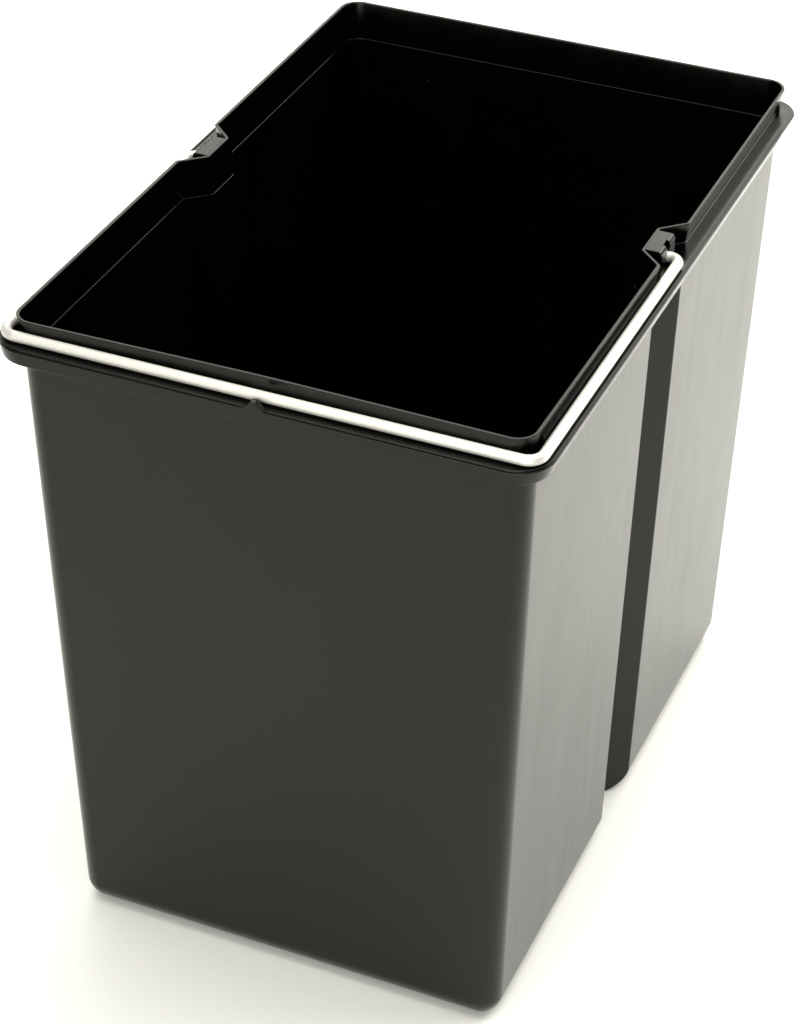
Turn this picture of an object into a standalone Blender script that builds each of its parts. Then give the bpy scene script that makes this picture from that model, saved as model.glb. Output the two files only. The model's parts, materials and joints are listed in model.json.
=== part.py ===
"""Plastic waste-bin bucket for a pull-out kitchen unit, with a wire bail that swings on its collar.

The bucket is one moulding: tapered walls, a flange with a hanging skirt, an upright collar above it,
a full-height recess in the middle of each long side, and a bearing block in each recess that holds
one end of the bail. Metres, +Z up. X runs across the bucket, Y runs from its front to its back.
The origin is on the ground under the middle of the object's box.
"""

import math

import bmesh
import bpy

# Heights above the ground.
RIM_TOP = 0.3140
LEDGE_DROP = 0.0092
LIP_DROP = 0.0087
SKIRT_DROP = 0.0151
STEP_DROP = 0.0179

# Plan of the collar and of the foot of the walls, measured from the middle of the bucket.
COLLAR_HALF_WIDTH = 0.1100
COLLAR_HALF_LENGTH = 0.1636
BASE_HALF_WIDTH = 0.1020
BASE_HALF_LENGTH = 0.1572
WALL_CORNER = 0.0096
SMALLEST_CORNER = 0.0010
BASE_EDGE = 0.0116

# Wall thicknesses, the outward lean of the collar and the small step inside it.
WALL = 0.0018
RIM_WALL = 0.0015
RIM_LEAN_X = 0.0014
RIM_LEAN_Y = 0.0011
FLOOR = 0.0022
STEP_INSET = 0.0009
STEP_HEIGHT = 0.0036
RIM_ROUND = 0.0004

# Recess in each long side.
RECESS_DEPTH = 0.0100
RECESS_FLOOR_HALF = 0.0095
RECESS_MOUTH_HALF = 0.0190
RECESS_CORNER_DEGREES = 45.0
RECESS_STUB = 0.0002

# Flange round the collar. Its skirt hangs at the front and along the sides, up to SKIRT_END_Y.
SIDE_OVERHANG = 0.0085
FRONT_OVERHANG = 0.0098
BACK_OVERHANG = 0.0016
SKIRT_DRAFT = 0.0014
SKIRT_WALL = 0.0014
FLANGE_CORNER = 0.0160
SKIRT_END_Y = 0.1332
SKIRT_END_SLOPE = 0.0008
LIP_WIDTH = 0.0014
LIP_ROUND = 0.0005

# Wire bail: it lies on the front of the ledge at rest.
WIRE_RADIUS = 0.00225
WIRE_GAP = 0.0004
BAIL_HALF_WIDTH = 0.1143
BAIL_REACH = 0.1665
BAIL_CORNER = 0.0065
PIN_BEND = 0.0048
PIN_TIP_X = 0.1032

# Bearing block in each recess.
BLOCK_OUTER_X = 0.1086
BLOCK_HALF_LENGTH = 0.0089
BLOCK_ROUND = 0.0020
BORE_CLEARANCE = 0.00030
BORE_END_X = 0.1024
SLOT_DEPTH = 0.0018
SLOT_TOP_HALF = 0.0026
SLOT_THROAT_HALF = 0.0016
SLOT_THROAT_RISE = 0.0013

# Stop tab in the middle of the front lip, and a gusset at each end of the collar's long sides.
TAB_HALF_WIDTH = 0.0045
TAB_TOP_HALF = 0.0008
TAB_THICKNESS = 0.0030
TAB_RISE = 0.0032
GUSSET_Y = 0.1520
GUSSET_THICKNESS = 0.0014
GUSSET_REACH = 0.0013
GUSSET_DROP = 0.0030

CORNER_SEGMENTS = 6
EDGE_SEGMENTS = 4
BORE_SIDES = 24
SINK = 0.0006

BODY_MIDDLE_Y = (FRONT_OVERHANG - BACK_OVERHANG) / 2
LEDGE_Z = RIM_TOP - LEDGE_DROP
LIP_Z = RIM_TOP - LIP_DROP
SKIRT_Z = RIM_TOP - SKIRT_DROP
STEP_Z = RIM_TOP - STEP_DROP
PLATE_UNDERSIDE_Z = LEDGE_Z - WALL
PIVOT_Z = LEDGE_Z + WIRE_GAP + WIRE_RADIUS
BORE_RADIUS = WIRE_RADIUS + BORE_CLEARANCE


def clear_scene():
    for old in list(bpy.data.objects):
        bpy.data.objects.remove(old, do_unlink=True)


def make_material(name, colour, roughness, metallic):
    material = bpy.data.materials.new(name)
    material.use_nodes = True
    shader = material.node_tree.nodes["Principled BSDF"]
    shader.inputs["Base Color"].default_value = (*colour, 1.0)
    shader.inputs["Roughness"].default_value = roughness
    shader.inputs["Metallic"].default_value = metallic
    return material


def bucket_plastic():
    return make_material("bucket_plastic", (0.016, 0.016, 0.015), 0.34, 0.0)


def nickel_wire():
    return make_material("nickel_wire", (0.78, 0.77, 0.74), 0.22, 1.0)


def add_object(name, mesh_builder, material=None):
    """Turn a bmesh into an object, with its faces pointing out."""
    bmesh.ops.recalc_face_normals(mesh_builder, faces=mesh_builder.faces)
    mesh = bpy.data.meshes.new(name)
    mesh_builder.to_mesh(mesh)
    mesh_builder.free()
    made = bpy.data.objects.new(name, mesh)
    bpy.context.scene.collection.objects.link(made)
    if material is not None:
        mesh.materials.append(material)
    return made


def corner_arc(centre_x, centre_y, radius, start_degrees):
    """Quarter circle of plan points, counter-clockwise from start_degrees."""
    points = []
    for index in range(CORNER_SEGMENTS + 1):
        angle = math.radians(start_degrees + 90 * index / CORNER_SEGMENTS)
        points.append((centre_x + radius * math.cos(angle), centre_y + radius * math.sin(angle)))
    return points


def outline(half_width, front, back, corner, recess, floor, mouth):
    """Plan of one ring, counter-clockwise from the front-right corner.

    Every ring has the same number of points, so rings with and without the side recess join up.
    floor and mouth are half the recess's width at its floor and at its mouth.
    """
    side = [(half_width, -mouth), (half_width - recess, -floor), (half_width - recess, floor),
            (half_width, mouth), (half_width, SKIRT_END_Y), (half_width, SKIRT_END_Y + SKIRT_END_SLOPE)]
    ring = corner_arc(half_width - corner, -front + corner, corner, -90)
    ring += side
    ring += corner_arc(half_width - corner, back - corner, corner, 0)
    ring += corner_arc(corner - half_width, back - corner, corner, 90)
    ring += [(-x, y) for x, y in reversed(side)]
    ring += corner_arc(corner - half_width, -front + corner, corner, 180)
    return ring


def wall_ring(z, inset, foot=0.0):
    """Ring on the wall or collar, moved in from the outer skin by inset.

    foot moves it in further round the foot's curved edge, but leaves the recess's floor in place.
    """
    taper = max(0.0, (SKIRT_Z - z) / SKIRT_Z)
    lean = max(0.0, (z - LEDGE_Z) / LEDGE_DROP)
    half_width = COLLAR_HALF_WIDTH + (BASE_HALF_WIDTH - COLLAR_HALF_WIDTH) * taper + RIM_LEAN_X * lean
    half_length = COLLAR_HALF_LENGTH + (BASE_HALF_LENGTH - COLLAR_HALF_LENGTH) * taper + RIM_LEAN_Y * lean
    half_width -= inset + foot
    half_length -= inset + foot
    corner = max(WALL_CORNER - inset - foot, SMALLEST_CORNER)
    mitre = inset * math.tan(math.radians(RECESS_CORNER_DEGREES / 2))
    recess = max(RECESS_DEPTH - foot, RECESS_STUB)
    floor = RECESS_FLOOR_HALF + mitre
    mouth = floor + (RECESS_MOUTH_HALF - RECESS_FLOOR_HALF) * recess / RECESS_DEPTH
    plan = outline(half_width, half_length, half_length, corner, recess, floor, mouth)
    return [(x, y, z) for x, y in plan]


def flange_ring(z, inset, draft=0.0):
    """Ring on the flange, moved in from its outer edge by inset."""
    half_width = COLLAR_HALF_WIDTH + SIDE_OVERHANG - inset - draft
    front = COLLAR_HALF_LENGTH + FRONT_OVERHANG - inset
    back = COLLAR_HALF_LENGTH + BACK_OVERHANG - inset * BACK_OVERHANG / (LIP_WIDTH + LIP_ROUND + WALL)
    plan = outline(half_width, front, back, FLANGE_CORNER - inset, 0.0, RECESS_FLOOR_HALF, RECESS_MOUTH_HALF)
    return [(x, y, z) for x, y in plan]


def without_skirt_behind(ring):
    """Lift the part of a skirt ring that lies behind the skirt's end up to the plate's underside."""
    return [(x, y, z if y <= SKIRT_END_Y else PLATE_UNDERSIDE_Z) for x, y, z in ring]


def edge_rings(bottom_z, inset, radius, going_up):
    """Rings round the curved edge between floor and wall."""
    rings = []
    for index in range(EDGE_SEGMENTS + 1):
        angle = math.radians(90 * index / EDGE_SEGMENTS)
        z = bottom_z + radius * (1 - math.cos(angle))
        rings.append(wall_ring(z, inset, radius * (1 - math.sin(angle))))
    return rings if going_up else rings[::-1]


def bucket_rings():
    """Rings from the outer floor, up the outside, over the rim and down to the inner floor."""
    rings = edge_rings(0.0, 0.0, BASE_EDGE, True)
    rings.append(wall_ring(SKIRT_Z, 0.0))
    rings.append(wall_ring(PLATE_UNDERSIDE_Z, 0.0))
    rings.append(flange_ring(PLATE_UNDERSIDE_Z, LIP_WIDTH + LIP_ROUND, SKIRT_DRAFT))
    rings.append(without_skirt_behind(flange_ring(SKIRT_Z, SKIRT_WALL, SKIRT_DRAFT)))
    rings.append(without_skirt_behind(flange_ring(SKIRT_Z, 0.0, SKIRT_DRAFT)))
    rings.append(flange_ring(LIP_Z - LIP_ROUND, 0.0))
    rings.append(flange_ring(LIP_Z, LIP_ROUND))
    rings.append(flange_ring(LIP_Z, LIP_WIDTH))
    rings.append(flange_ring(LEDGE_Z, LIP_WIDTH + LIP_ROUND))
    rings.append(wall_ring(LEDGE_Z, 0.0))
    rings.append(wall_ring(RIM_TOP - RIM_ROUND, 0.0))
    rings.append(wall_ring(RIM_TOP, RIM_ROUND))
    rings.append(wall_ring(RIM_TOP, RIM_WALL - RIM_ROUND))
    rings.append(wall_ring(RIM_TOP - RIM_ROUND, RIM_WALL))
    rings.append(wall_ring(LEDGE_Z, WALL))
    rings.append(wall_ring(STEP_Z, WALL))
    rings.append(wall_ring(STEP_Z - STEP_INSET, WALL + STEP_INSET))
    rings.append(wall_ring(STEP_Z - STEP_HEIGHT, WALL + STEP_INSET))
    rings += edge_rings(FLOOR, WALL, BASE_EDGE - WALL, False)
    return rings


def loft(mesh_builder, rings):
    """Skin a closed body over a stack of rings and close both ends."""
    rows = [[mesh_builder.verts.new(point) for point in ring] for ring in rings]
    count = len(rings[0])
    for lower, upper in zip(rows, rows[1:]):
        for index in range(count):
            following = (index + 1) % count
            mesh_builder.faces.new((lower[index], lower[following], upper[following], upper[index]))
    mesh_builder.faces.new(rows[0][::-1])
    mesh_builder.faces.new(rows[-1])


def add_prism(mesh_builder, profile, place):
    """Add a closed prism. place(point, end) puts a profile point at end 0 or end 1."""
    ends = [[mesh_builder.verts.new(place(point, end)) for point in profile] for end in (0, 1)]
    count = len(profile)
    for index in range(count):
        following = (index + 1) % count
        mesh_builder.faces.new((ends[0][index], ends[0][following], ends[1][following], ends[1][index]))
    mesh_builder.faces.new(ends[0][::-1])
    mesh_builder.faces.new(ends[1])


def block_profile():
    """Section of a bearing block across X and Z, with a rounded outer top edge. Its root leans with the collar."""
    top = RIM_TOP - RIM_ROUND
    root = COLLAR_HALF_WIDTH - RECESS_DEPTH - WALL / 2
    centre_x = BLOCK_OUTER_X - BLOCK_ROUND
    points = [(root, LEDGE_Z - SINK), (BLOCK_OUTER_X, LEDGE_Z - SINK)]
    for index in range(EDGE_SEGMENTS + 1):
        angle = math.radians(90 * index / EDGE_SEGMENTS)
        points.append((centre_x + BLOCK_ROUND * math.cos(angle), top - BLOCK_ROUND + BLOCK_ROUND * math.sin(angle)))
    points.append((root + RIM_LEAN_X, top))
    return points


def slot_profile():
    """Section of the snap-in slot above a bore, across Y and Z."""
    top = RIM_TOP + SINK
    throat_z = PIVOT_Z + SLOT_THROAT_RISE
    return [(-SLOT_THROAT_HALF, throat_z), (SLOT_THROAT_HALF, throat_z), (SLOT_TOP_HALF, top), (-SLOT_TOP_HALF, top)]


def tab_profile():
    """Front view of the stop tab, across X and Z."""
    foot = LIP_Z - 2 * LIP_ROUND
    top = LIP_Z + TAB_RISE
    return [(-TAB_HALF_WIDTH, foot), (TAB_HALF_WIDTH, foot), (TAB_TOP_HALF, top), (-TAB_TOP_HALF, top)]


def gusset_profile():
    """Side view of a collar gusset, across X and Z."""
    root = COLLAR_HALF_WIDTH - WALL / 2
    lean = RIM_LEAN_X * (1 - GUSSET_DROP / LEDGE_DROP)
    return [(root, LEDGE_Z - SINK), (COLLAR_HALF_WIDTH + GUSSET_REACH, LEDGE_Z - SINK),
            (COLLAR_HALF_WIDTH + GUSSET_REACH, LEDGE_Z + GUSSET_DROP), (root + lean, RIM_TOP - GUSSET_DROP)]


def moulded_details():
    """Blocks, gussets and tab that the moulding carries, as separate closed bodies."""
    shapes = bmesh.new()
    for side in (1, -1):
        add_prism(shapes, block_profile(),
                  lambda point, end, s=side: (s * point[0], (2 * end - 1) * BLOCK_HALF_LENGTH, point[1]))
        for gusset_y in (-GUSSET_Y, GUSSET_Y):
            add_prism(shapes, gusset_profile(), lambda point, end, s=side, y=gusset_y:
                      (s * point[0], y + (end - 0.5) * GUSSET_THICKNESS, point[1]))
    front = -(COLLAR_HALF_LENGTH + FRONT_OVERHANG)
    add_prism(shapes, tab_profile(), lambda point, end: (point[0], front + end * TAB_THICKNESS, point[1]))
    return shapes


def bearing_cuts():
    """Bore and snap-in slot of each bearing block, as overlapping cutters."""
    bores = bmesh.new()
    circle = [(BORE_RADIUS * math.cos(2 * math.pi * (index + 0.5) / BORE_SIDES),
               BORE_RADIUS * math.sin(2 * math.pi * (index + 0.5) / BORE_SIDES)) for index in range(BORE_SIDES)]
    outside = BLOCK_OUTER_X + 2 * SINK
    slots = bmesh.new()
    for side in (1, -1):
        add_prism(bores, circle, lambda point, end, s=side:
                  (s * (BORE_END_X if end == 0 else outside), point[0], PIVOT_Z + point[1]))
        add_prism(slots, slot_profile(), lambda point, end, s=side:
                  (s * (BLOCK_OUTER_X - SLOT_DEPTH if end == 0 else outside), point[0], point[1]))
    return bores, slots


def boolean(target, operation, tool):
    modifier = target.modifiers.new(tool.name, "BOOLEAN")
    modifier.operation = operation
    modifier.solver = "EXACT"
    modifier.object = tool
    tool.hide_render = True
    tool.display_type = "WIRE"


def make_bucket():
    shell = bmesh.new()
    loft(shell, bucket_rings())
    bucket = add_object("bucket", shell, bucket_plastic())
    details = add_object("moulded_details_form", moulded_details())
    bores, slots = bearing_cuts()
    bore_cutter = add_object("bore_cutter", bores)
    slot_cutter = add_object("slot_cutter", slots)
    boolean(bucket, "UNION", details)
    boolean(bucket, "DIFFERENCE", bore_cutter)
    boolean(bucket, "DIFFERENCE", slot_cutter)
    for piece in (bucket, details, bore_cutter, slot_cutter):
        piece.location.y = BODY_MIDDLE_Y
    bucket.data.shade_smooth()
    bucket.data.set_sharp_from_angle(angle=math.radians(30))
    return bucket


def bail_path():
    """Centre line of the bail in its own plane, from the right pin to the left pin."""
    right = [(PIN_TIP_X, 0.0)]
    bend_x = BAIL_HALF_WIDTH - PIN_BEND
    for index in range(CORNER_SEGMENTS + 1):
        angle = math.radians(90 - 90 * index / CORNER_SEGMENTS)
        right.append((bend_x + PIN_BEND * math.cos(angle), -PIN_BEND + PIN_BEND * math.sin(angle)))
    corner_x = BAIL_HALF_WIDTH - BAIL_CORNER
    for index in range(CORNER_SEGMENTS + 1):
        angle = math.radians(-90 * index / CORNER_SEGMENTS)
        right.append((corner_x + BAIL_CORNER * math.cos(angle),
                      BAIL_CORNER - BAIL_REACH + BAIL_CORNER * math.sin(angle)))
    return right + [(-x, y) for x, y in reversed(right)]


def make_bail():
    """Round wire bent to a U, with its object origin on the hinge axis."""
    curve = bpy.data.curves.new("bail_handle", "CURVE")
    curve.dimensions = "3D"
    curve.bevel_depth = WIRE_RADIUS
    curve.bevel_resolution = 4
    curve.use_fill_caps = True
    path = bail_path()
    spline = curve.splines.new("POLY")
    spline.points.add(len(path) - 1)
    for point, (x, y) in zip(spline.points, path):
        point.co = (x, y, 0.0, 1.0)
    curve.materials.append(nickel_wire())
    bail = bpy.data.objects.new("bail_handle", curve)
    bpy.context.scene.collection.objects.link(bail)
    bail.location = (0.0, BODY_MIDDLE_Y, PIVOT_Z)
    return bail


def main():
    clear_scene()
    make_bucket()
    make_bail()


main()
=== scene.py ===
"""Looks of a black moulded waste-bin bucket with a nickel-plated wire bail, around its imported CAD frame."""

import json
import math

import bmesh
import bpy
from mathutils import Matrix, Vector


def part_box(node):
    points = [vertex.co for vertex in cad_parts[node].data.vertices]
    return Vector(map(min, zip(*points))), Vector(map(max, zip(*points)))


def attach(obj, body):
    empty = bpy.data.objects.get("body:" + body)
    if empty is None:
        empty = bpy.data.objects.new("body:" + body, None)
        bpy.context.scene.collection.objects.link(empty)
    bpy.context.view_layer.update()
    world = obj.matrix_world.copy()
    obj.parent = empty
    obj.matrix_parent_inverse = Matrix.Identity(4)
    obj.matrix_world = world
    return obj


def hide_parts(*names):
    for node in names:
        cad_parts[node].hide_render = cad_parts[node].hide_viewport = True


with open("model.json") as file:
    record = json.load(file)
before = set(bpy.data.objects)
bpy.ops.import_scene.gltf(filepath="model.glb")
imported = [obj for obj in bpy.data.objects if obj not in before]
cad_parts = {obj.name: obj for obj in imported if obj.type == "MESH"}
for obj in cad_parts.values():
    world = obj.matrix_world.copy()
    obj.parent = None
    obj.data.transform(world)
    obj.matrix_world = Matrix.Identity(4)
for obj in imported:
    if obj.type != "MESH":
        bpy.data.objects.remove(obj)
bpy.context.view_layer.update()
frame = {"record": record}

# Places that the frame gives.
BUCKET_LOW, BUCKET_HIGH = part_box("bucket")
BAIL_LOW, BAIL_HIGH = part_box("bail_handle")
HINGE = Vector(frame["record"]["behaviour"]["joints"][0]["pos_m"])
MIDDLE_Y = HINGE.y
RIM_TOP = BUCKET_HIGH.z

# Heights, measured down from the rim.
LEDGE_Z = RIM_TOP - 0.0092
LIP_Z = RIM_TOP - 0.0087
SKIRT_Z = RIM_TOP - 0.0151
STEP_Z = RIM_TOP - 0.0179

# Plan of the collar, and how far the walls draw in at the ground.
SIDE_OVERHANG = 0.0085
BACK_OVERHANG = 0.0016
COLLAR_HALF_WIDTH = BUCKET_HIGH.x - SIDE_OVERHANG
COLLAR_HALF_LENGTH = BUCKET_HIGH.y - MIDDLE_Y - BACK_OVERHANG
FRONT_OVERHANG = MIDDLE_Y - BUCKET_LOW.y - COLLAR_HALF_LENGTH
TAPER_X = 0.0080
TAPER_Y = 0.0064
WALL_CORNER = 0.0096
SMALLEST_CORNER = 0.0010
FOOT_EDGE = 0.0116

# Thicknesses and the rounding of the moulding's edges.
WALL = 0.0018
RIM_WALL = 0.0015
FLOOR = 0.0022
PLATE = 0.0018
RIM_ROUND = 0.0004
STEP_INSET = 0.0002
STEP_HEIGHT = 0.0030
STEP_ROUND = 0.0001
COLLAR_FILLET = 0.0006
UNDER_FILLET = 0.0006

# The collar leans outwards, most at its corners, because the front and back walls bow in.
# Its front right corner is pulled in a little. The powers keep both shifts near the bucket's two ends, and
# the bow's power is odd, so that the bow points inwards at both. The pull across X starts at PULL_START of
# the half length in front of the middle and is whole PULL_RUN of it further on.
RIM_LEAN_X = 0.0014
RIM_LEAN_Y = 0.0018
RIM_BOW = 0.0018
BOW_POWER = 7
CORNER_PULL = 0.0008
PULL_POWER = 8
PULL_START = 0.26
PULL_RUN = 0.6

# Recess in each long side.
RECESS_DEPTH = 0.0100
RECESS_FLOOR_HALF = 0.0095
RECESS_MOUTH_HALF = 0.0190
RECESS_SOFTNESS = 0.0006
RECESS_STUB = 0.0006
RECESS_TURN = math.radians(45)

# Flange with its lip and its hanging skirt.
FLANGE_CORNER = 0.0160
SKIRT_DRAFT = 0.0014
SKIRT_WALL = 0.0014
SKIRT_EDGE = 0.0004
SKIRT_END_Y = 0.1340
SKIRT_END_ROUND = 0.0042
SHELF_WIDTH = 0.0009
SHELF_DROP = 0.0002
SHELF_ROUND = 0.0003
LIP_INNER = 0.0017
LIP_ROUND = 0.0004
LIP_FADE = 0.0010

# Stop tab in the middle of the front lip, with the lip interrupted beside it.
TAB_HALF_WIDTH = 0.0045
TAB_TOP_HALF = 0.0008
TAB_THICKNESS = 0.0030
TAB_RISE = 0.0032
TAB_GAP = 0.0052
TAB_EDGE = 0.0003

# Bearing block in each recess.
BLOCK_OUTER_X = 0.1086
BLOCK_HALF_LENGTH = 0.0089
BLOCK_ROUND = 0.0020
BLOCK_EDGE = 0.0004
BLOCK_BELOW_RIM = 0.0002
BORE_RADIUS = 0.00255
BORE_END_X = 0.1024
SLOT_DEPTH = 0.0018
SLOT_TOP_HALF = 0.0026
SLOT_THROAT_HALF = 0.0016
SLOT_THROAT_RISE = 0.0013

# Gussets at the ends of the collar's long sides.
GUSSET_Y = 0.1520
GUSSET_THICKNESS = 0.0014
GUSSET_REACH = 0.0013
GUSSET_DROP = 0.0030

# How deep a form sinks into what it joins, which is also the slot cutter's height above the rim, and how far
# a cutter's end passes the block's outer face.
SINK = 0.0006
CUTTER_OVERRUN = 0.0012

# Wire bail.
WIRE_RADIUS = (BAIL_HIGH.z - BAIL_LOW.z) / 2
BAIL_HALF_WIDTH = BAIL_HIGH.x - WIRE_RADIUS
BAIL_REACH = HINGE.y - BAIL_LOW.y - WIRE_RADIUS
BAIL_CORNER = 0.0065
PIN_BEND = 0.0048
PIN_TIP_X = 0.1032
PIN_CHAMFER = 0.0005

# How finely curves are cut.
CORNER_SEGMENTS = 16
RECESS_SEGMENTS = 5
FOOT_SEGMENTS = 12
EDGE_SEGMENTS = 4
BLOCK_SEGMENTS = 8
BEVEL_SEGMENTS = 2
FADE_STEPS = 3
WALL_LEVELS = 10
SKIRT_END_SEGMENTS = 8
WIRE_SIDES = 36
WIRE_BEND_SEGMENTS = 18
WIRE_STRAIGHT_STEP = 0.004

# Edges above the first angle get a bevel, and edges above the second are shaded sharp.
BEVEL_ANGLE = math.radians(40)
SHARP_ANGLE = math.radians(38)
NORMAL_WEIGHT = 60

# Colours of the surfaces.
PLASTIC_CLEAN = (0.0004, 0.0004, 0.0003)
PLASTIC_SMUDGED = (0.0008, 0.0008, 0.0007)
DUST = (0.05, 0.049, 0.045)
NICKEL_BRIGHT = (0.84, 0.83, 0.80)
NICKEL_TARNISHED = (0.76, 0.74, 0.70)
PAPER_DARK = (0.945, 0.945, 0.94)
PAPER_LIGHT = (0.965, 0.965, 0.96)
# The backdrop glows, and its second colour is painted shade at its top.
BACKDROP_LOW = (1.0, 0.995, 0.98)
BACKDROP_TOP_PAINTED_SHADE = (0.82, 0.82, 0.81)

# Studio. A room patch is a direction, a half angle in degrees and a strength. A softbox is a name, a place,
# an aim, a width, a height and a radiance.
LIGHT_COLOUR = (1.0, 0.985, 0.90)
ROOM_LIGHT = 0.01
BACKDROP_RADIUS = 8.0
BACKDROP_SEGMENTS = 64
FLOOR_SEGMENTS = 96
LOBE_FADE = 14
ROOM_PATCHES = (
    ((0.1, -1.0, 0.55), 25, 2.60),
    ((-1.0, 0.1, 0.55), 25, 0.42),
    ((0.0, 0.1, 1.0), 22, 3.60),
)
SOFTBOXES = (
    ("back_softbox", (-0.10, 1.90, 1.60), (0.0, 0.0, 0.2), 3.4, 0.9, 3.05),
    ("back_floor_softbox", (0.35, 1.20, 0.75), (0.28, 0.62, 0.0), 1.1, 0.5, 0.70),
    ("right_floor_softbox", (1.05, 0.35, 0.75), (0.55, 0.25, 0.0), 0.5, 1.0, 2.30),
    ("low_right_softbox", (0.48, 0.50, 0.60), (0.28, 0.30, 0.0), 0.6, 0.6, 2.00),
)

# Camera, in the frame's own units.
CAMERA_AIM = Vector((-0.01247, 0.0041, 0.14284))
CAMERA_DISTANCE = 1.27775
CAMERA_AZIMUTH = 22.959
CAMERA_ELEVATION = 35.025
CAMERA_ROLL = 0.589
CAMERA_LENS = 96.50


# ---------------------------------------------------------------- plans and rings

def conic(start, corner, end, segments):
    """Arc that leaves start towards corner and arrives at end. It is a circle's when the sides are equal."""
    back = (start - corner).normalized()
    ahead = (end - corner).normalized()
    weight = math.sqrt(max(0.0, (1 - back.dot(ahead)) / 2))
    points = []
    for index in range(segments + 1):
        t = index / segments
        parts = ((1 - t) ** 2, 2 * t * (1 - t) * weight, t ** 2)
        total = sum(parts)
        points.append((start * parts[0] + corner * parts[1] + end * parts[2]) / total)
    return points


def rounded(corners):
    """Polyline through (point, reach, segments) corners, each one rounded over its reach along both sides."""
    path = []
    for before, (corner, reach, segments), after in zip(corners, corners[1:], corners[2:]):
        if segments == 0:
            path.append(corner)
            continue
        start = corner + (before[0] - corner).normalized() * reach
        end = corner + (after[0] - corner).normalized() * reach
        path += conic(start, corner, end, segments)
    return path


def skirt_end_stations():
    """Places along the side where the skirt's rounded end is cut."""
    steps = range(SKIRT_END_SEGMENTS + 1)
    turns = [math.sin(math.radians(90 * index / SKIRT_END_SEGMENTS)) for index in steps]
    return [SKIRT_END_Y - SKIRT_END_ROUND * (1 - turn) for turn in turns]


def outline(half_width, front, back, corner, recess, floor, mouth):
    """Plan of one ring, counter-clockwise from the middle of the front.

    Every ring has the same number of points, so rings with and without the side recess join up.
    floor and mouth are half the recess's width at its floor and at its mouth.
    """
    soft = min(RECESS_SOFTNESS, (mouth - floor) / 2)
    gap_ends = [TAB_GAP + LIP_FADE * step / FADE_STEPS for step in range(FADE_STEPS + 1)]
    lip_ends = [SKIRT_END_Y + LIP_FADE * step / FADE_STEPS for step in range(1, FADE_STEPS + 1)]
    corners = [(Vector((0, -front)), 0, 0)]
    corners += [(Vector((x, -front)), 0, 0) for x in gap_ends]
    corners.append((Vector((half_width, -front)), corner, CORNER_SEGMENTS))
    corners.append((Vector((half_width, -mouth)), soft, RECESS_SEGMENTS))
    corners.append((Vector((half_width - recess, -floor)), soft, RECESS_SEGMENTS))
    corners.append((Vector((half_width - recess, floor)), soft, RECESS_SEGMENTS))
    corners.append((Vector((half_width, mouth)), soft, RECESS_SEGMENTS))
    corners += [(Vector((half_width, y)), 0, 0) for y in skirt_end_stations() + lip_ends]
    corners.append((Vector((half_width, back)), corner, CORNER_SEGMENTS))
    corners.append((Vector((0, back)), 0, 0))
    right = rounded(corners)
    return right + [Vector((-point.x, point.y)) for point in reversed(right)]


def wall_ring(z, inset, foot=0.0):
    """Ring on the wall or collar, moved in from the outer skin by inset.

    foot moves it in further round the foot's curved edge, but leaves the recess's floor in place.
    """
    taper = max(0.0, (SKIRT_Z - z) / SKIRT_Z)
    lean = max(0.0, (z - LEDGE_Z) / (RIM_TOP - LEDGE_Z))
    half_width = COLLAR_HALF_WIDTH - TAPER_X * taper + RIM_LEAN_X * lean - inset - foot
    half_length = COLLAR_HALF_LENGTH - TAPER_Y * taper + RIM_LEAN_Y * lean - inset - foot
    corner = max(WALL_CORNER - inset - foot, SMALLEST_CORNER)
    recess = max(RECESS_DEPTH - foot, RECESS_STUB)
    floor = RECESS_FLOOR_HALF + inset * math.tan(RECESS_TURN / 2)
    mouth = floor + (RECESS_MOUTH_HALF - RECESS_FLOOR_HALF) * recess / RECESS_DEPTH
    ring = []
    for point in outline(half_width, half_length, half_length, corner, recess, floor, mouth):
        across = point.x / half_width
        along = point.y / half_length
        bow = RIM_BOW * (1 - across ** 2) * along ** BOW_POWER
        if along < 0:
            bow -= CORNER_PULL * (1 + across) / 2 * along ** PULL_POWER
        pull = CORNER_PULL * max(0.0, across) * min(1.0, max(0.0, (-along - PULL_START) / PULL_RUN))
        ring.append(Vector((point.x - pull * lean, point.y - bow * lean, z)))
    return ring


def flange_ring(z, inset, draft=0.0):
    """Ring on the flange, moved in from its outer edge by inset."""
    half_width = COLLAR_HALF_WIDTH + SIDE_OVERHANG - inset - draft
    front = COLLAR_HALF_LENGTH + FRONT_OVERHANG - inset
    back = COLLAR_HALF_LENGTH + BACK_OVERHANG - inset * BACK_OVERHANG / (LIP_INNER + LIP_ROUND + WALL)
    plan = outline(half_width, front, back, FLANGE_CORNER - inset, 0.0, RECESS_FLOOR_HALF, RECESS_MOUTH_HALF)
    return [Vector((point.x, point.y, z)) for point in plan]


def lip_share(point):
    """1 where the lip stands full height, 0 beside the tab and behind the skirt's end."""
    behind = (point.y - SKIRT_END_Y) / LIP_FADE
    share = 1.0 - min(1.0, max(0.0, behind))
    if point.y < -COLLAR_HALF_LENGTH:
        share *= min(1.0, max(0.0, (abs(point.x) - TAB_GAP) / LIP_FADE))
    return math.sqrt(share * (2 - share))


def lip_ring(rise, inset):
    """Ring on the lip, rise above the ledge where the lip is whole."""
    plan = flange_ring(0.0, inset)
    return [Vector((point.x, point.y, LEDGE_Z + rise * lip_share(point))) for point in plan]


def skirt_ring(lift, inset):
    """Ring on the skirt's lower edge, which curves up to the plate's underside at the skirt's end."""
    underside = LEDGE_Z - PLATE
    ring = []
    for point in flange_ring(0.0, inset, SKIRT_DRAFT):
        along = (point.y - (SKIRT_END_Y - SKIRT_END_ROUND)) / SKIRT_END_ROUND
        across = math.sqrt(max(0.0, 1 - min(1.0, max(0.0, along)) ** 2))
        z = underside + (SKIRT_Z - underside) * across + lift
        ring.append(Vector((point.x, point.y, z)))
    return ring


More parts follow.
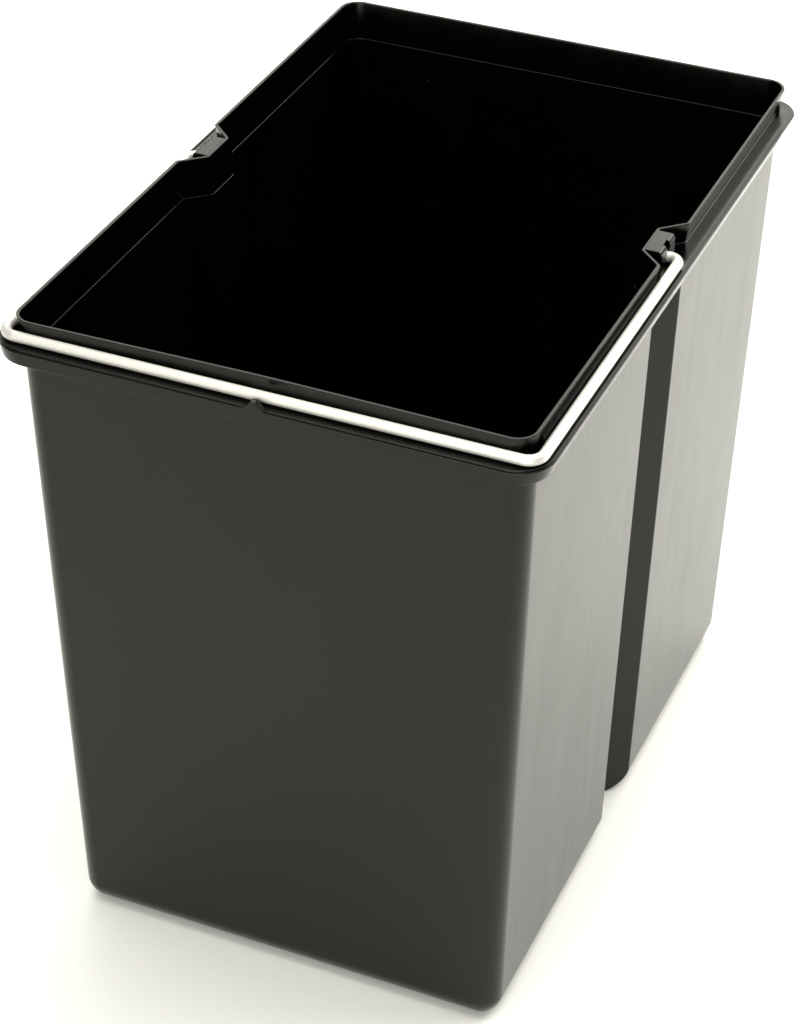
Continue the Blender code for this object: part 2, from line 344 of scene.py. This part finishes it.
def quarter(segments):
    """Cosine and sine at each step of a quarter turn."""
    angles = [math.radians(90 * index / segments) for index in range(segments + 1)]
    return [(math.cos(angle), math.sin(angle)) for angle in angles]


def outer_rings():
    """From the ground up to the flange's underside."""
    rings = [wall_ring(FOOT_EDGE * (1 - c), 0.0, FOOT_EDGE * (1 - s)) for c, s in quarter(FOOT_SEGMENTS)]
    top = LEDGE_Z - PLATE - UNDER_FILLET
    for level in range(1, WALL_LEVELS + 1):
        rings.append(wall_ring(FOOT_EDGE + (SKIRT_Z - FOOT_EDGE) * level / WALL_LEVELS, 0.0))
    for c, s in quarter(EDGE_SEGMENTS):
        rings.append(wall_ring(top + UNDER_FILLET * s, UNDER_FILLET * (c - 1)))
    return rings


def flange_rings():
    """From the flange's underside, round the skirt, across the narrow shelf and over the lip to the ledge."""
    rings = [flange_ring(LEDGE_Z - PLATE, SKIRT_WALL + SKIRT_EDGE, SKIRT_DRAFT)]
    for c, s in quarter(EDGE_SEGMENTS):
        rings.append(skirt_ring(SKIRT_EDGE * (1 - s), SKIRT_WALL - SKIRT_EDGE * (1 - c)))
    for c, s in quarter(EDGE_SEGMENTS):
        rings.append(skirt_ring(SKIRT_EDGE * (1 - c), SKIRT_EDGE * (1 - s)))
    lip = LIP_Z - LEDGE_Z
    shelf = LEDGE_Z - SHELF_DROP
    for c, s in quarter(EDGE_SEGMENTS):
        rings.append(flange_ring(shelf - SHELF_ROUND * (1 - s), SHELF_ROUND * (1 - c)))
    rings.append(flange_ring(shelf, SHELF_WIDTH))
    for c, s in quarter(EDGE_SEGMENTS):
        rings.append(lip_ring(lip * s, SHELF_WIDTH + LIP_ROUND * (1 - c)))
    for c, s in quarter(EDGE_SEGMENTS):
        rings.append(lip_ring(lip * c, LIP_INNER - LIP_ROUND * (1 - s)))
    return rings


def collar_rings():
    """From the ledge up the collar, over the rim and down past the step inside it."""
    rings = []
    for c, s in quarter(EDGE_SEGMENTS):
        rings.append(wall_ring(LEDGE_Z + COLLAR_FILLET * (1 - c), -COLLAR_FILLET * (1 - s)))
    for c, s in quarter(EDGE_SEGMENTS):
        rings.append(wall_ring(RIM_TOP - RIM_ROUND * (1 - s), RIM_ROUND * (1 - c)))
    for c, s in quarter(EDGE_SEGMENTS):
        rings.append(wall_ring(RIM_TOP - RIM_ROUND * (1 - c), RIM_WALL - RIM_ROUND * (1 - s)))
    rings.append(wall_ring(LEDGE_Z, WALL))
    for c, s in quarter(EDGE_SEGMENTS):
        rings.append(wall_ring(STEP_Z + STEP_ROUND * (1 - s), WALL + STEP_ROUND * (1 - c)))
    for c, s in quarter(EDGE_SEGMENTS):
        rings.append(wall_ring(STEP_Z - STEP_ROUND * (1 - c), WALL + STEP_INSET - STEP_ROUND * (1 - s)))
    rings.append(wall_ring(STEP_Z - STEP_HEIGHT, WALL + STEP_INSET))
    return rings


def inner_rings():
    """Down the inside of the walls and round the inner foot edge to the floor."""
    rings = []
    top = STEP_Z - STEP_HEIGHT
    foot = FLOOR + FOOT_EDGE - WALL
    for level in range(1, WALL_LEVELS):
        drop = level / WALL_LEVELS
        rings.append(wall_ring(top + (foot - top) * drop, WALL + STEP_INSET * (1 - drop)))
    radius = FOOT_EDGE - WALL
    for c, s in quarter(FOOT_SEGMENTS):
        rings.append(wall_ring(FLOOR + radius * (1 - s), WALL, radius * (1 - c)))
    return rings


# ---------------------------------------------------------------- mesh building

def loft(builder, rings):
    """Skin a closed body over a stack of rings and close both ends."""
    rows = [[builder.verts.new(point) for point in ring] for ring in rings]
    count = len(rings[0])
    for lower, upper in zip(rows, rows[1:]):
        for index in range(count):
            following = (index + 1) % count
            builder.faces.new((lower[index], lower[following], upper[following], upper[index]))
    builder.faces.new(rows[0][::-1])
    builder.faces.new(rows[-1])


def add_prism(builder, profile, place):
    """Add a closed prism. place(point, end) puts a profile point at end 0 or end 1."""
    near, far = [[builder.verts.new(place(point, end)) for point in profile] for end in (0, 1)]
    count = len(profile)
    for index in range(count):
        following = (index + 1) % count
        builder.faces.new((near[index], near[following], far[following], far[index]))
    builder.faces.new(near[::-1])
    builder.faces.new(far)
    bmesh.ops.recalc_face_normals(builder, faces=builder.faces)


def make_object(name, builder, material=None):
    """Turn a bmesh into an object in the scene, with its faces pointing out."""
    bmesh.ops.recalc_face_normals(builder, faces=builder.faces)
    mesh = bpy.data.meshes.new(name)
    builder.to_mesh(mesh)
    builder.free()
    made = bpy.data.objects.new(name, mesh)
    bpy.context.scene.collection.objects.link(made)
    if material is not None:
        mesh.materials.append(material)
    return made


def apply_modifiers(piece):
    """Replace an object's mesh with the one that its modifiers give."""
    graph = bpy.context.evaluated_depsgraph_get()
    mesh = bpy.data.meshes.new_from_object(piece.evaluated_get(graph))
    old = piece.data
    piece.modifiers.clear()
    piece.data = mesh
    bpy.data.meshes.remove(old)


def combine(piece, operation, tool):
    """Join a tool to a piece, or cut it out of the piece, and remove the tool."""
    modifier = piece.modifiers.new(tool.name, "BOOLEAN")
    modifier.operation = operation
    modifier.solver = "EXACT"
    modifier.object = tool
    apply_modifiers(piece)
    bpy.data.objects.remove(tool, do_unlink=True)


def bevel_all(builder, width):
    """Round every sharp edge."""
    sharp = [edge for edge in builder.edges if edge.calc_face_angle(0.0) > BEVEL_ANGLE]
    bmesh.ops.bevel(builder, geom=sharp, offset=width, segments=BEVEL_SEGMENTS, affect="EDGES", profile=0.5)


# ---------------------------------------------------------------- bucket

def block_profile():
    """Section of a bearing block across X and Z, with a rounded outer top edge.

    Its root leans with the collar.
    """
    root = COLLAR_HALF_WIDTH - RECESS_DEPTH - WALL / 2
    foot = LEDGE_Z - SINK
    centre_x = BLOCK_OUTER_X - BLOCK_ROUND
    centre_z = RIM_TOP - BLOCK_BELOW_RIM - BLOCK_ROUND
    curve = [(centre_x + BLOCK_ROUND * c, centre_z + BLOCK_ROUND * s) for c, s in quarter(BLOCK_SEGMENTS)]
    return [(root, foot), (BLOCK_OUTER_X, foot)] + curve + [(root + RIM_LEAN_X, centre_z + BLOCK_ROUND)]


def make_block(side):
    """Bearing block in the recess on one side: 1 is the right, -1 the left."""
    builder = bmesh.new()
    add_prism(builder, block_profile(), lambda point, end: Vector(
        (side * point[0], (2 * end - 1) * BLOCK_HALF_LENGTH, point[1])))
    bevel_all(builder, BLOCK_EDGE)
    return make_object("block_form", builder)


def make_gusset(side, middle):
    """Thin rib between the collar and the ledge, whose root leans with the collar."""
    root = COLLAR_HALF_WIDTH - WALL / 2
    tip = COLLAR_HALF_WIDTH + GUSSET_REACH
    foot = LEDGE_Z - SINK
    top = RIM_TOP - GUSSET_DROP
    lean = RIM_LEAN_X * (top - LEDGE_Z) / (RIM_TOP - LEDGE_Z)
    profile = [(root, foot), (tip, foot), (tip, LEDGE_Z + GUSSET_DROP), (root + lean, top)]
    builder = bmesh.new()
    add_prism(builder, profile, lambda point, end: Vector(
        (side * point[0], middle + (end - 0.5) * GUSSET_THICKNESS, point[1])))
    bevel_all(builder, TAB_EDGE)
    return make_object("gusset_form", builder)


def make_tab():
    """Stop tab in the middle of the front lip, narrower towards its top."""
    foot = LEDGE_Z - SINK
    top = LIP_Z + TAB_RISE
    front = -(COLLAR_HALF_LENGTH + FRONT_OVERHANG)
    profile = [(-TAB_HALF_WIDTH, foot), (TAB_HALF_WIDTH, foot), (TAB_HALF_WIDTH, LEDGE_Z),
               (TAB_TOP_HALF, top), (-TAB_TOP_HALF, top), (-TAB_HALF_WIDTH, LEDGE_Z)]
    builder = bmesh.new()
    add_prism(builder, profile, lambda point, end: Vector((point[0], front + end * TAB_THICKNESS, point[1])))
    bevel_all(builder, TAB_EDGE)
    return make_object("tab_form", builder)


def make_bore(side):
    """Cutter for the blind bore that holds a pin."""
    outside = BLOCK_OUTER_X + CUTTER_OVERRUN
    turns = [2 * math.pi * index / WIRE_SIDES for index in range(WIRE_SIDES)]
    circle = [(BORE_RADIUS * math.cos(turn), HINGE.z + BORE_RADIUS * math.sin(turn)) for turn in turns]
    builder = bmesh.new()
    add_prism(builder, circle, lambda point, end: Vector(
        (side * (outside if end else BORE_END_X), point[0], point[1])))
    return make_object("bore_cutter", builder)


def make_slot(side):
    """Cutter for the open slot above the bore, wider towards its top."""
    outside = BLOCK_OUTER_X + CUTTER_OVERRUN
    throat = HINGE.z + SLOT_THROAT_RISE
    top = RIM_TOP + SINK
    profile = [(-SLOT_THROAT_HALF, throat), (SLOT_THROAT_HALF, throat),
               (SLOT_TOP_HALF, top), (-SLOT_TOP_HALF, top)]
    builder = bmesh.new()
    add_prism(builder, profile, lambda point, end: Vector(
        (side * (outside if end else BLOCK_OUTER_X - SLOT_DEPTH), point[0], point[1])))
    return make_object("slot_cutter", builder)


def smooth_shaded(piece):
    """Shade smooth, and keep flat faces flat beside their rounded edges."""
    piece.data.shade_smooth()
    piece.data.set_sharp_from_angle(angle=SHARP_ANGLE)
    modifier = piece.modifiers.new("weighted_normals", "WEIGHTED_NORMAL")
    modifier.keep_sharp = True
    modifier.weight = NORMAL_WEIGHT


def make_bucket(material):
    """The moulding: one lofted shell with its blocks, gussets and tab joined on and its bearings cut."""
    builder = bmesh.new()
    loft(builder, outer_rings() + flange_rings() + collar_rings() + inner_rings())
    bucket = make_object("bucket_shell", builder)
    for side in (1, -1):
        combine(bucket, "UNION", make_block(side))
        for middle in (-GUSSET_Y, GUSSET_Y):
            combine(bucket, "UNION", make_gusset(side, middle))
    combine(bucket, "UNION", make_tab())
    for side in (1, -1):
        combine(bucket, "DIFFERENCE", make_bore(side))
        combine(bucket, "DIFFERENCE", make_slot(side))
    bucket.data.transform(Matrix.Translation((0.0, MIDDLE_Y, 0.0)))
    bucket.data.materials.clear()
    bucket.data.materials.append(material)
    smooth_shaded(bucket)
    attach(bucket, "bucket")
    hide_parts("bucket")
    return bucket


# ---------------------------------------------------------------- bail

def straight(start, end):
    """Points between start and end, both left out, a few millimetres apart."""
    count = max(1, round((end - start).length / WIRE_STRAIGHT_STEP))
    return [start.lerp(end, index / count) for index in range(1, count)]


def bail_path():
    """Centre line of the bail in its own plane, from the right pin's tip to the left one's."""
    arm = BAIL_HALF_WIDTH
    tip = Vector((PIN_TIP_X, 0))
    bend = [Vector((arm - PIN_BEND, 0)), Vector((arm, 0)), Vector((arm, -PIN_BEND))]
    corner = [Vector((arm, BAIL_CORNER - BAIL_REACH)), Vector((arm, -BAIL_REACH)),
              Vector((arm - BAIL_CORNER, -BAIL_REACH))]
    right = [tip] + straight(tip, bend[0]) + conic(*bend, WIRE_BEND_SEGMENTS)
    right += straight(bend[2], corner[0]) + conic(*corner, WIRE_BEND_SEGMENTS)
    middle = Vector((0, -BAIL_REACH))
    right += straight(corner[2], middle)
    return right + [middle] + [Vector((-point.x, point.y)) for point in reversed(right)]


def wire_sections(path):
    """List of (centre, direction, radius) along the wire, with its two cut ends chamfered."""
    sections = []
    for index, point in enumerate(path):
        before = path[max(0, index - 1)]
        after = path[min(len(path) - 1, index + 1)]
        sections.append((point, (after - before).normalized(), WIRE_RADIUS))
    first, last = sections[0], sections[-1]
    inner = WIRE_RADIUS - PIN_CHAMFER
    opening = [(first[0], first[1], inner), (first[0] + first[1] * PIN_CHAMFER, first[1], WIRE_RADIUS)]
    closing = [(last[0] - last[1] * PIN_CHAMFER, last[1], WIRE_RADIUS), (last[0], last[1], inner)]
    return opening + sections[1:-1] + closing


def make_bail(material):
    """Round wire bent to a U, with UVs that run along the wire and round it."""
    builder = bmesh.new()
    uv_layer = builder.loops.layers.uv.new("along_wire")
    rows = []
    travelled = []
    length = 0.0
    sections = wire_sections(bail_path())
    for index, (centre, direction, radius) in enumerate(sections):
        if index:
            length += (centre - sections[index - 1][0]).length
        across = Vector((direction.y, -direction.x, 0.0))
        row = []
        for side in range(WIRE_SIDES):
            turn = 2 * math.pi * side / WIRE_SIDES
            offset = across * math.cos(turn) * radius + Vector((0.0, 0.0, math.sin(turn) * radius))
            row.append(builder.verts.new(Vector((centre.x, centre.y, 0.0)) + offset))
        rows.append(row)
        travelled.append(length)
    for index, (here, ahead) in enumerate(zip(rows, rows[1:])):
        for side in range(WIRE_SIDES):
            following = (side + 1) % WIRE_SIDES
            face = builder.faces.new((here[side], here[following], ahead[following], ahead[side]))
            turns = (side, side + 1, side + 1, side)
            steps = (index, index, index + 1, index + 1)
            for loop, turn, step in zip(face.loops, turns, steps):
                loop[uv_layer].uv = (travelled[step], turn / WIRE_SIDES * 2 * math.pi * WIRE_RADIUS)
    builder.faces.new(rows[0][::-1])
    builder.faces.new(rows[-1])
    bail = make_object("bail_wire", builder, material)
    bail.data.transform(Matrix.Translation(HINGE))
    smooth_shaded(bail)
    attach(bail, "bail")
    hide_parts("bail_handle")
    return bail


# ---------------------------------------------------------------- materials

class Nodes:
    """Short calls for building one material's or world's node tree."""

    def __init__(self, tree):
        self.tree = tree

    def node(self, kind, **values):
        made = self.tree.nodes.new(kind)
        for name, value in values.items():
            setattr(made, name, value)
        return made

    def link(self, source, target):
        self.tree.links.new(source, target)

    def place(self, scale):
        """Object coordinates in metres, stretched by scale."""
        coordinates = self.node("ShaderNodeTexCoord")
        mapping = self.node("ShaderNodeMapping")
        mapping.inputs["Scale"].default_value = scale
        self.link(coordinates.outputs["Object"], mapping.inputs["Vector"])
        return mapping.outputs["Vector"]

    def noise(self, vector, scale, detail, roughness):
        made = self.node("ShaderNodeTexNoise")
        made.inputs["Scale"].default_value = scale
        made.inputs["Detail"].default_value = detail
        made.inputs["Roughness"].default_value = roughness
        self.link(vector, made.inputs["Vector"])
        return made.outputs["Fac"]

    def remap(self, value, low, high, to_low=0.0, to_high=1.0, smooth=False):
        made = self.node("ShaderNodeMapRange", interpolation_type="SMOOTHSTEP" if smooth else "LINEAR")
        made.inputs["From Min"].default_value = low
        made.inputs["From Max"].default_value = high
        made.inputs["To Min"].default_value = to_low
        made.inputs["To Max"].default_value = to_high
        self.link(value, made.inputs["Value"])
        return made.outputs["Result"]

    def maths(self, operation, first, second):
        made = self.node("ShaderNodeMath", operation=operation)
        for socket, value in zip(made.inputs, (first, second)):
            if isinstance(value, (int, float)):
                socket.default_value = value
            else:
                self.link(value, socket)
        return made.outputs["Value"]

    def mix_colour(self, factor, first, second):
        made = self.node("ShaderNodeMix", data_type="RGBA")
        self.link(factor, made.inputs["Factor"])
        for socket, value in ((made.inputs[6], first), (made.inputs[7], second)):
            if isinstance(value, tuple):
                socket.default_value = (*value, 1.0)
            else:
                self.link(value, socket)
        return made.outputs[2]

    def bump(self, height, distance, strength=1.0, normal=None):
        made = self.node("ShaderNodeBump")
        made.inputs["Strength"].default_value = strength
        made.inputs["Distance"].default_value = distance
        self.link(height, made.inputs["Height"])
        if normal is not None:
            self.link(normal, made.inputs["Normal"])
        return made.outputs["Normal"]


def new_material(name):
    material = bpy.data.materials.new(name)
    material.use_nodes = True
    return material, Nodes(material.node_tree), material.node_tree.nodes["Principled BSDF"]


def bucket_plastic():
    """Satin black polypropylene: fine grain, flow streaks up the walls, smudges and a few specks of dust."""
    material, nodes, shader = new_material("bucket_plastic")
    even = nodes.place((1, 1, 1))
    upright = nodes.place((1, 1, 0.06))

    grain = nodes.noise(even, scale=1500, detail=3.0, roughness=0.6)
    swell = nodes.noise(even, scale=9, detail=2.0, roughness=0.5)
    streaks = nodes.noise(upright, scale=120, detail=4.0, roughness=0.6)
    smudges = nodes.noise(even, scale=14, detail=5.0, roughness=0.6)

    specks = nodes.node("ShaderNodeTexVoronoi", feature="F1")
    specks.inputs["Scale"].default_value = 60
    nodes.link(even, specks.inputs["Vector"])
    near = nodes.remap(specks.outputs["Distance"], 0.010, 0.022, to_low=1.0, to_high=0.0, smooth=True)
    chosen = nodes.node("ShaderNodeSeparateColor")
    nodes.link(specks.outputs["Color"], chosen.inputs["Color"])
    dust = nodes.maths("MULTIPLY", near, nodes.maths("GREATER_THAN", chosen.outputs["Red"], 0.86))

    body = nodes.mix_colour(nodes.remap(smudges, 0.35, 0.65), PLASTIC_CLEAN, PLASTIC_SMUDGED)
    nodes.link(nodes.mix_colour(dust, body, DUST), shader.inputs["Base Color"])

    worn = nodes.remap(smudges, 0.3, 0.7, to_low=0.15, to_high=0.20)
    streaked = nodes.remap(streaks, 0.3, 0.7, to_low=-0.02, to_high=0.04)
    nodes.link(nodes.maths("ADD", worn, streaked), shader.inputs["Roughness"])
    shader.inputs["IOR"].default_value = 1.37

    flow = nodes.noise(nodes.place((1, 1, 0.09)), scale=34, detail=3.0, roughness=0.55)
    wavy = nodes.bump(flow, distance=0.00012, normal=nodes.bump(swell, distance=0.0006))
    nodes.link(nodes.bump(grain, distance=0.00003, strength=0.6, normal=wavy), shader.inputs["Normal"])
    return material


def nickel_wire():
    """Drawn steel wire with satin nickel plating: fine lines along the wire and faint tarnish."""
    material, nodes, shader = new_material("nickel_wire")
    uv = nodes.node("ShaderNodeUVMap", uv_map="along_wire")
    mapping = nodes.node("ShaderNodeMapping")
    mapping.inputs["Scale"].default_value = (14, 1500, 1)
    nodes.link(uv.outputs["UV"], mapping.inputs["Vector"])
    lines = nodes.noise(mapping.outputs["Vector"], scale=1.0, detail=3.0, roughness=0.6)
    even = nodes.place((1, 1, 1))
    tarnish = nodes.noise(even, scale=40, detail=4.0, roughness=0.6)

    colour = nodes.mix_colour(nodes.remap(tarnish, 0.35, 0.7), NICKEL_BRIGHT, NICKEL_TARNISHED)
    nodes.link(colour, shader.inputs["Base Color"])
    shader.inputs["Metallic"].default_value = 0.7
    dulled = nodes.remap(tarnish, 0.3, 0.7, to_low=0.42, to_high=0.50)
    lined = nodes.remap(lines, 0.3, 0.7, to_low=-0.04, to_high=0.05)
    nodes.link(nodes.maths("ADD", dulled, lined), shader.inputs["Roughness"])
    nodes.link(nodes.bump(lines, distance=0.00004, strength=0.5), shader.inputs["Normal"])
    tangent = nodes.node("ShaderNodeTangent", direction_type="UV_MAP", uv_map="along_wire")
    nodes.link(tangent.outputs["Tangent"], shader.inputs["Tangent"])
    shader.inputs["Anisotropic"].default_value = 0.8
    shader.inputs["Anisotropic Rotation"].default_value = 0.25
    return material


def floor_paper():
    """Matt white studio paper."""
    material, nodes, shader = new_material("studio_paper")
    even = nodes.place((1, 1, 1))
    fibres = nodes.noise(even, scale=400, detail=4.0, roughness=0.6)
    colour = nodes.mix_colour(nodes.remap(fibres, 0.3, 0.7), PAPER_DARK, PAPER_LIGHT)
    nodes.link(colour, shader.inputs["Base Color"])
    shader.inputs["Roughness"].default_value = 0.45
    shader.inputs["IOR"].default_value = 1.45
    return material


# ---------------------------------------------------------------- stage

def make_floor():
    """Round sheet of paper that reaches the backdrop."""
    builder = bmesh.new()
    bmesh.ops.create_circle(builder, cap_ends=True, segments=FLOOR_SEGMENTS, radius=BACKDROP_RADIUS)
    make_object("studio_floor", builder, floor_paper())


def backdrop_paper():
    """Glowing pale paper, with painted shade making it a little darker towards its top."""
    material, nodes, shader = new_material("studio_backdrop")
    height = nodes.node("ShaderNodeSeparateXYZ")
    nodes.link(nodes.place((1, 1, 1)), height.inputs["Vector"])
    # Painted shade: the glow darkens towards the backdrop's top.
    rise = nodes.remap(height.outputs["Z"], 0.0, BACKDROP_RADIUS)
    nodes.link(nodes.mix_colour(rise, BACKDROP_LOW, BACKDROP_TOP_PAINTED_SHADE), shader.inputs["Emission Color"])
    shader.inputs["Emission Strength"].default_value = 1.0
    shader.inputs["Base Color"].default_value = (0.0, 0.0, 0.0, 1.0)
    shader.inputs["Specular IOR Level"].default_value = 0.0
    return material


def make_backdrop():
    """Pale dome behind everything. Only the camera sees it, so it neither lights nor shades the object."""
    builder = bmesh.new()
    bmesh.ops.create_uvsphere(builder, u_segments=BACKDROP_SEGMENTS, v_segments=BACKDROP_SEGMENTS // 2,
                              radius=BACKDROP_RADIUS)
    backdrop = make_object("studio_backdrop", builder, backdrop_paper())
    for rays in ("visible_diffuse", "visible_glossy", "visible_transmission", "visible_shadow"):
        setattr(backdrop, rays, False)


def world_lobe(nodes, axis, radius, strength):
    """Soft round patch of light in the studio room, centred on axis."""
    direction = nodes.node("ShaderNodeTexCoord")
    facing = nodes.node("ShaderNodeVectorMath", operation="DOT_PRODUCT")
    nodes.link(direction.outputs["Generated"], facing.inputs[0])
    facing.inputs[1].default_value = Vector(axis).normalized()
    edge = math.cos(math.radians(radius + LOBE_FADE))
    core = math.cos(math.radians(radius))
    return nodes.remap(facing.outputs["Value"], edge, core, to_high=strength, smooth=True)


def make_world():
    """Dark studio room with broad soft patches of light."""
    world = bpy.data.worlds.new("studio")
    bpy.context.scene.world = world
    world.use_nodes = True
    nodes = Nodes(world.node_tree)
    background = world.node_tree.nodes["Background"]
    background.inputs["Color"].default_value = (*LIGHT_COLOUR, 1.0)
    total = ROOM_LIGHT
    for axis, radius, strength in ROOM_PATCHES:
        total = nodes.maths("ADD", world_lobe(nodes, axis, radius, strength), total)
    nodes.link(total, background.inputs["Strength"])


def make_softboxes():
    """Rectangular soft lights, each one turned towards its own aim."""
    for name, location, aim, width, height, radiance in SOFTBOXES:
        data = bpy.data.lights.new(name, "AREA")
        data.shape = "RECTANGLE"
        data.size = width
        data.size_y = height
        data.energy = radiance * math.pi * width * height
        data.color = LIGHT_COLOUR
        lamp = bpy.data.objects.new(name, data)
        bpy.context.scene.collection.objects.link(lamp)
        lamp.location = location
        lamp.rotation_euler = (Vector(aim) - Vector(location)).to_track_quat("-Z", "Y").to_euler()
        lamp.visible_camera = False


def make_camera():
    """Camera that looks at the aim from its azimuth and elevation, rolled a little."""
    azimuth = math.radians(CAMERA_AZIMUTH)
    elevation = math.radians(CAMERA_ELEVATION)
    back = Vector((math.sin(azimuth) * math.cos(elevation), -math.cos(azimuth) * math.cos(elevation),
                   math.sin(elevation)))
    data = bpy.data.cameras.new("camera")
    data.lens = CAMERA_LENS
    camera = bpy.data.objects.new("camera", data)
    bpy.context.scene.collection.objects.link(camera)
    level = (-back).to_track_quat("-Z", "Y").to_matrix()
    turned = level @ Matrix.Rotation(math.radians(CAMERA_ROLL), 3, "Z")
    camera.matrix_world = Matrix.Translation(CAMERA_AIM + back * CAMERA_DISTANCE) @ turned.to_4x4()
    bpy.context.scene.camera = camera


def main():
    make_camera()
    make_world()
    make_softboxes()
    make_floor()
    make_backdrop()
    make_bucket(bucket_plastic())
    make_bail(nickel_wire())
    bpy.context.scene.view_settings.view_transform = "Standard"


main()
